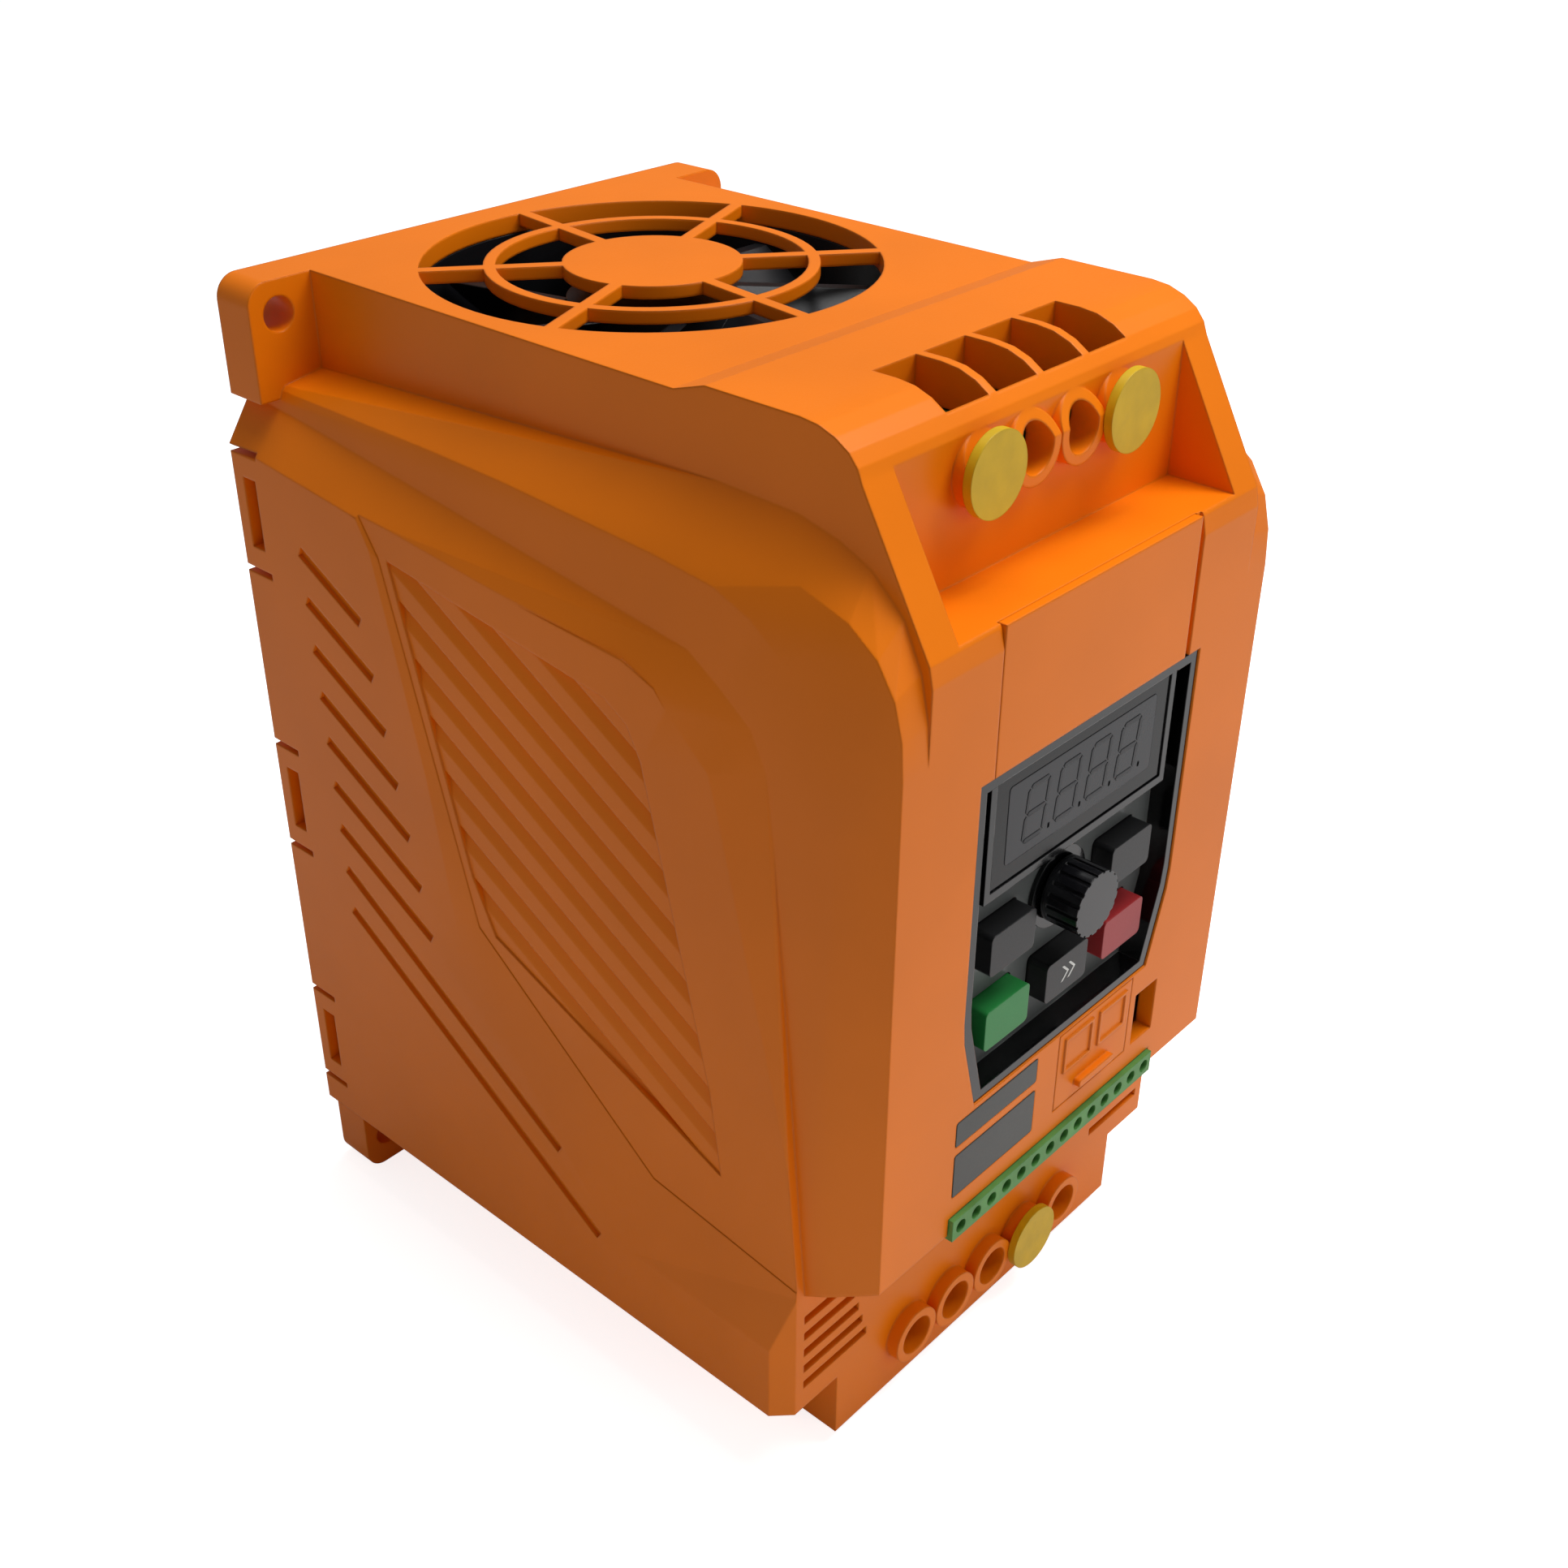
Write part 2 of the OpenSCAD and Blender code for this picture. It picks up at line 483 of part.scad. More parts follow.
module keypad_bezel() {
    y0 = fy + pad_t + 0.2;
    color([0.10, 0.10, 0.11]) difference() {
        union() {
            difference() {
                translate([0, y0, pad_z]) rotate([90, 0, 0]) linear_extrude(pad_t) pad_outline(0);
                translate([0, tray_y, pad_z]) rotate([90, 0, 0]) linear_extrude(10) pad_outline(-1.3);
            }
            // Raised block round the display.
            span([-disp_w / 2 - 1.1, fy + 0.9, disp_z - disp_h / 2 - 1.1], [disp_w / 2 + 1.1, tray_y + 0.5, disp_z + disp_h / 2 + 0.4]);
            // Collar under the knob.
            rod(0, tray_y + 0.4, knob_z, knob_r + 1.2, 1.1);
            // Posts to the keypad board.
            for (s = [-1, 1]) rod(s * 19.2, kbd_f, key1_z - 4, 1.3, kbd_f - y0 + 0.1);
            for (s = [-1, 1]) rod(s * 19.2, kbd_f, disp_z + 5.4, 1.3, kbd_f - y0 + 0.1);
        }
        // Seat of the display pane and the window behind it.
        span([-disp_w / 2, fy - 1, disp_z - disp_h / 2], [disp_w / 2, fy + 2.3, disp_z + disp_h / 2]);
        span([-disp_w / 2 + 2, fy - 1, disp_z - disp_h / 2 + 2], [disp_w / 2 - 2, fy + 20, disp_z + disp_h / 2 - 1.6]);
        // Key windows and the knob shaft hole.
        for (s = [-1, 1]) plate(s * key_dx, key1_z, key_w + 2 * fit, key_h + 2 * fit, 0.8, fy + 12, 20);
        for (s = [-1, 0, 1]) plate(s * key_dx, key2_z, key_w + 2 * fit, key_h + 2 * fit, 0.8, fy + 12, 20);
        rod(0, fy + 12, knob_z, 3.3, 20);
    }
}

module display_window() {
    color([0.22, 0.22, 0.23]) span([-disp_w / 2 + 0.05, fy + 1.1, disp_z - disp_h / 2 + 0.05],
        [disp_w / 2 - 0.05, fy + 2.3, disp_z + disp_h / 2 - 0.05]);
}

module display_module() {
    z0 = disp_z + 0.2;
    color([0.16, 0.16, 0.17]) difference() {
        span([-14.6, fy + 2.5, z0 - 5], [14.6, kbd_f, z0 + 5]);
        // Four digits, each seven shallow segments.
        for (i = [0:3]) translate([-9.9 + i * 6.6, fy + 2.5, z0]) {
            for (j = [-1, 0, 1]) span([-1.5, -1, j * 3.4 - 0.35], [1.5, 0.3, j * 3.4 + 0.35]);
            for (s = [-1, 1], j = [-1, 1]) span([s * 2.1 - 0.35, -1, j * 1.7 - 1.2], [s * 2.1 + 0.35, 0.3, j * 1.7 + 1.2]);
        }
    }
}

// One key: cap, and a flange that holds it behind the panel.
module key(x, z, c) {
    yb = fy + pad_t + 0.2;
    color(c) union() {
        plate(x, z, key_w, key_h, 0.7, yb + 0.1, yb + 0.1 - tray_y + key_out);
        plate(x, z, key_w + 1.6, key_h + 1.4, 0.7, yb + 0.6, 0.6);
    }
}
module key_menu() { key(-key_dx, key1_z, [0.05, 0.05, 0.06]); }
module key_jog() { key(key_dx, key1_z, [0.05, 0.05, 0.06]); }
module key_run() { key(-key_dx, key2_z, [0.12, 0.50, 0.22]); }
module key_shift() { key(0, key2_z, [0.05, 0.05, 0.06]); }
module key_stop() { key(key_dx, key2_z, [0.62, 0.16, 0.16]); }

module knob() {
    y1 = tray_y - 1.1;
    color([0.05, 0.05, 0.06]) difference() {
        union() {
            rod(0, y1, knob_z, knob_r, knob_l);
            rod(0, fy + pad_t + 1.1, knob_z, 3, fy + pad_t + 1.2 - y1);
        }
        for (k = [0:17]) translate([0, y1, knob_z]) rotate([0, k * 20, 0])
            translate([knob_r - 0.22, -knob_l - 1, -0.25]) cube([1, knob_l + 0.2, 0.5]);
        // Shaft socket.
        rod(0, fy + pad_t + 2, knob_z, 1.5, 5);
    }
}

module potentiometer() {
    yk = fy + pad_t + 1.1;
    color([0.25, 0.35, 0.55]) union() {
        span([-4.9, yk + 0.2, knob_z - 5.4], [4.9, kbd_f, knob_z + 5.4]);
        rod(0, yk + 0.3, knob_z, 1.45, 4);
    }
}

module key_switches() {
    yk = fy + pad_t + 0.8 + key_travel + 0.1;
    color([0.2, 0.2, 0.22]) for (p = [[-key_dx, key1_z], [key_dx, key1_z], [-key_dx, key2_z], [0, key2_z], [key_dx, key2_z]]) {
        span([p[0] - 2.6, yk + 0.5, p[1] - 2.6], [p[0] + 2.6, kbd_f, p[1] + 2.6]);
        rod(p[0], yk + 0.6, p[1], 1.5, 0.6);
    }
}

module keypad_board() {
    color([0.08, 0.35, 0.18]) span([-pad_w / 2 + 1.6, kbd_f, pad_z - pad_h / 2 + 2.4], [pad_w / 2 - 1.6, kbd_b, pad_z + pad_h / 2 - 0.8]);
}

module board_header() {
    color([0.1, 0.1, 0.1]) span([-8, kbd_b, key2_z - 2.5], [8, ctl_f, key2_z + 2.5]);
}

module control_board() {
    color([0.08, 0.38, 0.20]) difference() {
        span([-hw + 9.9, ctl_f, pan_z + 10.5], [hw - 9.9, ctl_b, zt - 38.2]);
        for (s = [-1, 1], z = [post_lo, post_hi]) rod(s * (hw - 14), ctl_b + 1, z, 1.6, 4);
    }
}

module control_posts() {
    color([0.78, 0.66, 0.32]) for (s = [-1, 1], z = [post_lo, post_hi]) {
        rod(s * (hw - 14), pcb_f, z, 2.6, pcb_f - ctl_b);
        rod(s * (hw - 14), ctl_b + 0.1, z, 1.5, 1.8);
        rod(s * (hw - 14), ctl_f, z, 2.4, 1.2);
    }
}

module power_board() {
    color([0.08, 0.38, 0.20]) difference() {
        union() {
            span([-tb + 2.4, pcb_f, low_z + wall + 0.4], [tb - 2.4, pcb_b, zt - 5.2]);
            span([-hw + 8, pcb_f, pan_z + 5], [hw - 8, pcb_b, zt - 40]);
        }
        for (s = [-1, 1], z = [sink_bot + 14, sink_top - 9]) rod(s * 24, pcb_b + 1, z, 1.6, 4);
    }
}

module board_spacers() {
    color([0.75, 0.75, 0.77]) for (s = [-1, 1], z = [sink_bot + 14, sink_top - 9]) difference() {
        rod(s * 24, sink_f, z, 2.6, sink_f - pcb_b);
        rod(s * 24, pcb_b + 5, z, 1.3, 6);
    }
}

module board_screws() {
    color([0.78, 0.78, 0.8]) for (s = [-1, 1], z = [sink_bot + 14, sink_top - 9]) difference() {
        union() {
            rod(s * 24, pcb_f, z, 2.6, 1.5);
            rod(s * 24, pcb_b + 4.6, z, 1.25, 6.4);
        }
        span([s * 24 - 2, pcb_f - 2.5, z - 0.35], [s * 24 + 2, pcb_f - 0.8, z + 0.35]);
        span([s * 24 - 0.35, pcb_f - 2.5, z - 2], [s * 24 + 0.35, pcb_f - 0.8, z + 2]);
    }
}

module power_module() {
    color([0.12, 0.12, 0.13]) {
        difference() {
            span([-19, sink_f - 5.6, mod_z - mod_h / 2], [19, sink_f, mod_z + mod_h / 2]);
            for (s = [-1, 1]) span([s > 0 ? 15.5 : -20, sink_f - 6.6, mod_z - 3], [s > 0 ? 20 : -15.5, sink_f + 1, mod_z + 3]);
        }
        for (i = [-4:4], s = [-1, 1]) rod(i * 3.6, sink_f - 5.5, mod_z + s * (mod_h / 2 - 2), 0.45, sink_f - 5.5 - pcb_b);
    }
}

module rectifier_bridge() {
    color([0.12, 0.12, 0.13]) {
        span([-13, sink_f - 4.6, rect_z - 8], [13, sink_f, rect_z + 10]);
        for (i = [-1.5:1:1.5]) rod(i * 5.4, sink_f - 4.5, rect_z - 6, 0.6, sink_f - 4.5 - pcb_b);
    }
}

module link_capacitors() {
    color([0.10, 0.12, 0.30]) for (s = [-1, 1])
        translate([s * (cap_r + 0.4), pcb_f - cap_r, cap_z - cap_h / 2]) cylinder(r = cap_r, h = cap_h, $fn = 48);
}

module relay() {
    color([0.15, 0.25, 0.55]) span([-tb + 4, pcb_f - 12, tall_z], [-tb + 16, pcb_f, tall_z + 18.1]);
}

module transformer() {
    color([0.80, 0.70, 0.25]) union() {
        span([tb - 18, pcb_f - 13, tall_z + 0.5], [tb - 2, pcb_f, tall_z + 4.1]);
        span([tb - 18, pcb_f - 13, tall_z + 14.5], [tb - 2, pcb_f, tall_z + 18.1]);
        span([tb - 16.4, pcb_f - 11.5, tall_z + 3.5], [tb - 3.6, pcb_f - 1, tall_z + 15.5]);
    }
}

// Screw terminal block with n wire entries; s = 1 opens upwards, -1 downwards.
module block(n, z0, z1, zs, s) {
    w = n * pole_pitch / 2 + 0.3;
    color([0.12, 0.30, 0.16]) difference() {
        span([-w, term_y + 0.3, z0], [w, pcb_f, z1]);
        for (i = [0:n - 1]) {
            x = (i - (n - 1) / 2) * pole_pitch;
            span([x - 3.2, term_y + 3.2, s > 0 ? zs - 4.4 : z0 - 1], [x + 3.2, rec_y + 11.2, s > 0 ? z1 + 1 : zs + 4.4]);
            rod(x, term_y + 3.4, zs, 2.5, 5);
        }
    }
}
module input_terminals() { block(poles_in, zt - 20, zt - 5.2, tin_z, 1); }
module output_terminals() { block(poles_out, low_z + 5.2, low_z + 20, tout_z, -1); }

// Clamp screws of a terminal block.
module clamp_screws(n, zs) {
    color([0.78, 0.78, 0.74]) for (i = [0:n - 1]) {
        x = (i - (n - 1) / 2) * pole_pitch;
        difference() {
            rod(x, term_y + 3.3, zs, 2.45, 1.9);
            span([x - 3, term_y - 1, zs - 0.4], [x + 3, term_y + 2, zs + 0.4]);
        }
    }
}
module input_terminal_screws() { clamp_screws(poles_in, tin_z); }
module output_terminal_screws() { clamp_screws(poles_out, tout_z); }

module control_terminals() {
    color([0.30, 0.62, 0.32]) difference() {
        span([-strip_w / 2, fy - 0.7, strip_z - strip_h / 2], [strip_w / 2, ctl_f, strip_z + strip_h / 2]);
        for (i = [0:ctl_n - 1]) rod((i - (ctl_n - 1) / 2) * ctl_pitch, fy + 6, strip_z, 0.95, 8);
    }
}

module data_jack() {
    color([0.10, 0.10, 0.11]) difference() {
        span([port_x - 7.6, fy + 3.4, port_z - 6.4], [port_x + 7.6, ctl_f, port_z + 6]);
        span([port_x - 6, fy + 2, port_z - 3.4], [port_x + 6, ctl_f - 1.6, port_z + 4]);
        span([port_x - 2.2, fy + 2, port_z - 5.2], [port_x + 2.2, ctl_f - 3, port_z]);
    }
}

module aux_connector() {
    x0 = aux_x - aux_w / 2 + 0.1;
    color([0.30, 0.62, 0.32]) difference() {
        span([x0, fy + 3.6, aux_z - aux_h / 2 + 0.2], [x0 + aux_w - 0.2, ctl_f, aux_z + aux_h / 2 - 0.2]);
        for (s = [-1, 1]) rod(aux_x, fy + 8, aux_z + s * 2, 1.2, 6);
    }
}

module port_cover() {
    w = port_w / 2;
    h = port_h / 2;
    color([0.93, 0.48, 0.12]) difference() {
        union() {
            span([port_x - w, fy, port_z - h], [port_x + w, fy + wall, port_z + h]);
            // Finger lip, and the outlines embossed beside it.
            plate(port_x, port_z - h + 2.2, 8, 1.2, 0.4, fy + 0.5, 1.5);
            for (k = [-1, 1]) difference() {
                span([port_x + k * 3.9 - 3.2, fy - 0.25, port_z - 0.6], [port_x + k * 3.9 + 3.2, fy + 0.5, port_z + 5]);
                span([port_x + k * 3.9 - 2.7, fy - 1, port_z - 0.1], [port_x + k * 3.9 + 2.7, fy + 2, port_z + 4.5]);
            }
            // Two snap legs behind the panel.
            for (s = [-1, 1]) span([port_x + s * (w - 0.5) - 0.5, fy + wall - 0.5, port_z - 2], [port_x + s * (w - 0.5) + 0.5, fy + wall + 0.5, port_z + 2]);
        }
        span([port_x - 9, fy + wall + 0.4, port_z - 3], [port_x - 8.5, fy + 5, port_z + 3]);
    }
}

// Yellow plug that closes a screwdriver hole.
module plug(x, y0, z) {
    color([0.80, 0.70, 0.12]) union() {
        rod(x, y0 - tube_l - 0.05, z, tube_o + 0.7, 1.1);
        rod(x, y0 - tube_l - 0.04 + 3.6, z, tube_r - 0.15, 3.7);
    }
}
module cap_left() { plug(-(poles_in - 1) / 2 * pole_pitch, rec_y, tin_z); }
module cap_right() { plug((poles_in - 1) / 2 * pole_pitch, rec_y, tin_z); }
module cap_lower() { plug(((poles_out - 1) / 2 - 1) * pole_pitch, low_y, tout_z); }

module label_upper() { color([0.24, 0.25, 0.24]) plate(-13.9, zb + 53.8, 16.6, 3.7, 0.3, fy + 0.5, 0.55); }
module label_lower() { color([0.24, 0.25, 0.24]) plate(-13.9, zb + 47.1, 16.6, 6.7, 0.3, fy + 0.5, 0.55); }

housing();
back_plate();
heatsink();
fan_frame();
fan_stator();
fan_rotor();
fan_screws();
centre_cover();
keypad_bezel();
display_window();
display_module();
key_menu();
key_jog();
key_run();
key_shift();
key_stop();
knob();
potentiometer();
key_switches();
keypad_board();
board_header();
control_board();
control_posts();
power_board();
board_spacers();
board_screws();
power_module();
rectifier_bridge();
link_capacitors();
relay();
transformer();
input_terminals();
input_terminal_screws();
output_terminals();
output_terminal_screws();
control_terminals();
data_jack();
aux_connector();
port_cover();
cap_left();
cap_right();
cap_lower();
label_upper();
label_lower();
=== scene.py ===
import math
import bpy
import bmesh
from mathutils import Matrix, Vector


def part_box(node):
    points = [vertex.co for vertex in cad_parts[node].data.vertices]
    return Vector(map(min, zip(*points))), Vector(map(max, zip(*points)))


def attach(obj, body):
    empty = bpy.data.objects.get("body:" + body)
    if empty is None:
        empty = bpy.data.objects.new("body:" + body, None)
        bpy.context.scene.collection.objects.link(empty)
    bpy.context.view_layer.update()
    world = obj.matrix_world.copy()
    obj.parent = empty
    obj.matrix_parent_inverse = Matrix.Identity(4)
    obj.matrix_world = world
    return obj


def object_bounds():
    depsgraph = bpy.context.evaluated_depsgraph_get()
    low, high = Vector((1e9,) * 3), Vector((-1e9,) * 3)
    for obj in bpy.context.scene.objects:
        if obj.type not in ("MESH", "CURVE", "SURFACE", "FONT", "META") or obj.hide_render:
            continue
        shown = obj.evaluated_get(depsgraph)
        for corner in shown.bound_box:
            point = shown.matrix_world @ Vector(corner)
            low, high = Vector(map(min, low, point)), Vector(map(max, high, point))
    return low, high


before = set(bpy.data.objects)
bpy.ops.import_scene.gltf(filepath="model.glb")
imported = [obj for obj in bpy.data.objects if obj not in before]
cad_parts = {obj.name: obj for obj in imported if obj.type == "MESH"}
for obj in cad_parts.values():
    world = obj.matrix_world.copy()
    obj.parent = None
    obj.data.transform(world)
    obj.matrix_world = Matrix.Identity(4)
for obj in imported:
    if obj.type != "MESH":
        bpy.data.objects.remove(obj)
cad_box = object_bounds()

# Heatsink. An extruded aluminium block whose fins stand in the air duct behind the boards.
# It is left as it came from the saw and mill, with fine lines along its length.
MM = 0.001
ALUMINIUM = (0.62, 0.63, 0.65)
MILL_LINES = 900.0
LINE_DEPTH = 0.00004
SCREEN_GAMMA = 2.2
METAL_PATCH = 6 * MM
RAMP_START = 0.3
RAMP_END = 0.7
WELD_DISTANCE = 0.002 * MM
CREASE = math.radians(9)
FLAT_FACE_WEIGHT = 80


def tint(shade, factor=1.0):
    """A screen colour as the linear colour that a shader takes, made lighter or darker by factor."""
    return tuple(min(1.0, (c * factor) ** SCREEN_GAMMA) for c in shade) + (1.0,)


def new_finish(name, roughness, metallic=0.0):
    """An empty finish: its material, its shader and a function that adds a node to it."""
    finish = bpy.data.materials.new(name)
    finish.use_nodes = True
    shader = finish.node_tree.nodes["Principled BSDF"]
    shader.inputs["Roughness"].default_value = roughness
    shader.inputs["Metallic"].default_value = metallic

    def add(kind, **inputs):
        node = finish.node_tree.nodes.new(kind)
        for socket, value in inputs.items():
            socket = socket.replace("_", " ")
            if isinstance(value, bpy.types.NodeSocket):
                finish.node_tree.links.new(value, node.inputs[socket])
            else:
                node.inputs[socket].default_value = value
        return node
    return finish, shader, add


def join(finish, out_socket, in_socket):
    """Links two sockets of one finish."""
    finish.node_tree.links.new(out_socket, in_socket)


def mottle(finish, shader, add, shade, size, low=0.93, high=1.05):
    """Colour that drifts a little over the surface, in patches of about size."""
    place = add("ShaderNodeTexCoord").outputs["Object"]
    patches = add("ShaderNodeTexNoise", Vector=place, Scale=1.0 / size, Detail=3.0)
    ramp = add("ShaderNodeValToRGB", Fac=patches.outputs["Fac"])
    ramp.color_ramp.elements[0].position = RAMP_START
    ramp.color_ramp.elements[1].position = RAMP_END
    ramp.color_ramp.elements[0].color = tint(shade, low)
    ramp.color_ramp.elements[1].color = tint(shade, high)
    join(finish, ramp.outputs["Color"], shader.inputs["Base Color"])
    return place


def milled_metal(name, shade, roughness, along=(1.0, 1.0, 0.03)):
    """Bare metal with fine tool lines that run where along is small."""
    finish, shader, add = new_finish(name, roughness, metallic=1.0)
    place = mottle(finish, shader, add, shade, METAL_PATCH)
    stretch = add("ShaderNodeMapping", Vector=place, Scale=along)
    lines = add("ShaderNodeTexNoise", Vector=stretch.outputs["Vector"], Scale=MILL_LINES, Detail=2.0)
    relief = add("ShaderNodeBump", Height=lines.outputs["Fac"], Distance=LINE_DEPTH, Strength=0.4)
    join(finish, relief.outputs["Normal"], shader.inputs["Normal"])
    return finish


def smoothing(name, crease):
    """Modifier nodes that weld a part's faces together and shade it smooth across edges below crease."""
    nodes = bpy.data.node_groups.new(name, "GeometryNodeTree")
    nodes.interface.new_socket("Mesh", in_out="INPUT", socket_type="NodeSocketGeometry")
    nodes.interface.new_socket("Mesh", in_out="OUTPUT", socket_type="NodeSocketGeometry")
    entry = nodes.nodes.new("NodeGroupInput")
    leave = nodes.nodes.new("NodeGroupOutput")
    weld = nodes.nodes.new("GeometryNodeMergeByDistance")
    weld.inputs["Distance"].default_value = WELD_DISTANCE
    angle = nodes.nodes.new("GeometryNodeInputMeshEdgeAngle")
    sharp = nodes.nodes.new("FunctionNodeCompare")
    sharp.operation = "GREATER_THAN"
    sharp.inputs[1].default_value = crease
    shade = nodes.nodes.new("GeometryNodeSetMeshNormal")
    shade.mode = "SHARPNESS"
    shade.inputs["Remove Custom"].default_value = True
    shade.inputs["Face Sharpness"].default_value = False
    link = nodes.links.new
    link(entry.outputs[0], weld.inputs["Geometry"])
    link(weld.outputs["Geometry"], shade.inputs["Mesh"])
    link(angle.outputs["Unsigned Angle"], sharp.inputs[0])
    link(sharp.outputs["Result"], shade.inputs["Edge Sharpness"])
    link(shade.outputs["Mesh"], leave.inputs[0])
    return nodes


smooth_shading = smoothing("smooth_shading", CREASE)


def dress(node, finish):
    """Gives a CAD node its finish and smooth shading."""
    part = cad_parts[node]
    for held in part.material_slots:
        held.material = finish
    part.modifiers.new("smooth", "NODES").node_group = smooth_shading
    even = part.modifiers.new("even", "WEIGHTED_NORMAL")
    even.keep_sharp = True
    even.weight = FLAT_FACE_WEIGHT


dress("heatsink", milled_metal("heatsink_aluminium", ALUMINIUM, roughness=0.38))

# Power parts clamped to the heatsink: the switching module, the rectifier bridge, and the
# steel spacers and screws that hold the power board. Moulded epoxy and zinc-plated steel.
EPOXY_BLACK = (0.13, 0.13, 0.135)
ZINC = (0.70, 0.71, 0.73)
FINE_GRAIN = 0.35 * MM
EDGE_SAMPLES = 6
SHINE_DROP = 0.05
SHINE_RISE = 0.07
COAT_ROUGHNESS = 0.08


def moulded_plastic(name, shade, roughness, grain=FINE_GRAIN, depth=0.01 * MM, coat=0.0, patch=14 * MM,
                    low=0.95, high=1.04, edge=0.2 * MM, shine_level=0.4):
    """Moulded plastic: a fine even grain from the tool, and a colour that drifts slightly."""
    finish, shader, add = new_finish(name, roughness)
    place = mottle(finish, shader, add, shade, patch, low, high)
    pits = add("ShaderNodeTexNoise", Vector=place, Scale=1.0 / grain, Detail=2.0)
    rounded = add("ShaderNodeBevel", Radius=edge)
    rounded.samples = EDGE_SAMPLES
    relief = add("ShaderNodeBump", Height=pits.outputs["Fac"], Distance=depth, Strength=0.5)
    join(finish, rounded.outputs["Normal"], relief.inputs["Normal"])
    join(finish, relief.outputs["Normal"], shader.inputs["Normal"])
    shader.inputs["Specular IOR Level"].default_value = shine_level
    shine = add("ShaderNodeMapRange", Value=pits.outputs["Fac"])
    shine.inputs["To Min"].default_value = max(roughness - SHINE_DROP, 0.0)
    shine.inputs["To Max"].default_value = roughness + SHINE_RISE
    join(finish, shine.outputs["Result"], shader.inputs["Roughness"])
    shader.inputs["Coat Weight"].default_value = coat
    shader.inputs["Coat Roughness"].default_value = COAT_ROUGHNESS
    return finish


epoxy = moulded_plastic("component_black", EPOXY_BLACK, roughness=0.5)
zinc = milled_metal("zinc_plate", ZINC, roughness=0.32)
for node in ("power_module", "rectifier_bridge"):
    dress(node, epoxy)
for node in ("board_spacers", "board_screws"):
    dress(node, zinc)

# Circuit boards. Glass-fibre laminate under green solder mask, with copper tracks that show
# as slightly raised, lighter lines. The control board stands on brass posts.
MASK_GREEN = (0.10, 0.34, 0.19)
TRACK_GREEN = (0.16, 0.44, 0.25)
TRACK_PITCH = 2.2 * MM
TRACK_WIDTH = 0.05
TRACK_HEIGHT = 0.03 * MM
MASK_ROUGHNESS = 0.28
BRASS = (0.78, 0.64, 0.33)


def circuit_board(name):
    """Green laminate with a net of tracks."""
    finish, shader, add = new_finish(name, MASK_ROUGHNESS)
    place = add("ShaderNodeTexCoord").outputs["Object"]
    net = add("ShaderNodeTexBrick", Vector=place, Scale=1.0 / TRACK_PITCH)
    turned = add("ShaderNodeMapping", Vector=place, Rotation=(math.radians(90), 0, 0))
    join(finish, turned.outputs["Vector"], net.inputs["Vector"])
    net.inputs["Color1"].default_value = tint(MASK_GREEN)
    net.inputs["Color2"].default_value = tint(MASK_GREEN, 0.9)
    net.inputs["Mortar"].default_value = tint(TRACK_GREEN)
    net.inputs["Mortar Size"].default_value = TRACK_WIDTH
    join(finish, net.outputs["Color"], shader.inputs["Base Color"])
    relief = add("ShaderNodeBump", Height=net.outputs["Fac"], Distance=TRACK_HEIGHT, Strength=0.6)
    join(finish, relief.outputs["Normal"], shader.inputs["Normal"])
    return finish


laminate = circuit_board("board_green")
for node in ("power_board", "control_board", "keypad_board"):
    dress(node, laminate)
dress("control_posts", milled_metal("post_brass", BRASS, roughness=0.3))

# Tall parts on the power board: two sleeved link capacitors, a relay and a transformer.
# They stand on soldered leads, and the transformer core is wrapped in yellow tape.
SLEEVE_BLUE = (0.12, 0.14, 0.32)
RELAY_BLUE = (0.17, 0.30, 0.58)
TAPE_YELLOW = (0.80, 0.68, 0.22)
dress("link_capacitors", moulded_plastic("capacitor_sleeve", SLEEVE_BLUE, roughness=0.25))
relay_case = moulded_plastic("component_blue", RELAY_BLUE, roughness=0.4)
dress("relay", relay_case)
dress("transformer", moulded_plastic("transformer_yellow", TAPE_YELLOW, roughness=0.45, grain=1.2 * MM))

# Terminal blocks. Green moulded blocks soldered to the boards behind the front and the two
# wire openings, with steel clamp screws in the power blocks.
BLOCK_GREEN = (0.33, 0.56, 0.28)
BLOCK_GREEN_DARK = (0.13, 0.32, 0.16)
strip_green = moulded_plastic("terminal_green", BLOCK_GREEN, roughness=0.42, patch=5 * MM, low=0.9, high=1.08)
block_green = moulded_plastic("terminal_green_dark", BLOCK_GREEN_DARK, roughness=0.45)
dress("input_terminals", block_green)
dress("output_terminals", block_green)
dress("control_terminals", strip_green)
dress("aux_connector", strip_green)
for node in ("input_terminal_screws", "output_terminal_screws"):
    dress(node, zinc)
dress("data_jack", epoxy)
dress("board_header", epoxy)

# Fan. A black axial fan under the grille in the top: moulded frame and rotor, and a copper
# wound stator in its hub, held by four steel screws.
FAN_BLACK = (0.10, 0.10, 0.11)
ENAMEL_COPPER = (0.60, 0.35, 0.18)
fan_plastic = moulded_plastic("fan_black", FAN_BLACK, roughness=0.36)
dress("fan_frame", fan_plastic)
dress("fan_rotor", fan_plastic)
dress("fan_stator", milled_metal("winding_copper", ENAMEL_COPPER, roughness=0.35, along=(0.1, 0.1, 1.0)))
dress("fan_screws", zinc)

# Case. The orange front housing and its back plate, injection moulded in ABS with a fine
# satin grain. The plate snaps into the housing with tabs along both rear edges.
CASE_ORANGE = (0.94, 0.48, 0.05)
CASE_GRAIN = 0.22 * MM
case_plastic = moulded_plastic("case_orange", CASE_ORANGE, roughness=0.36, grain=CASE_GRAIN, depth=0.012 * MM,
                               patch=30 * MM, low=0.97, high=1.02, edge=0.45 * MM, shine_level=0.22)
dress("housing", case_plastic)
dress("back_plate", case_plastic)
dress("centre_cover", case_plastic)
dress("port_cover", case_plastic)

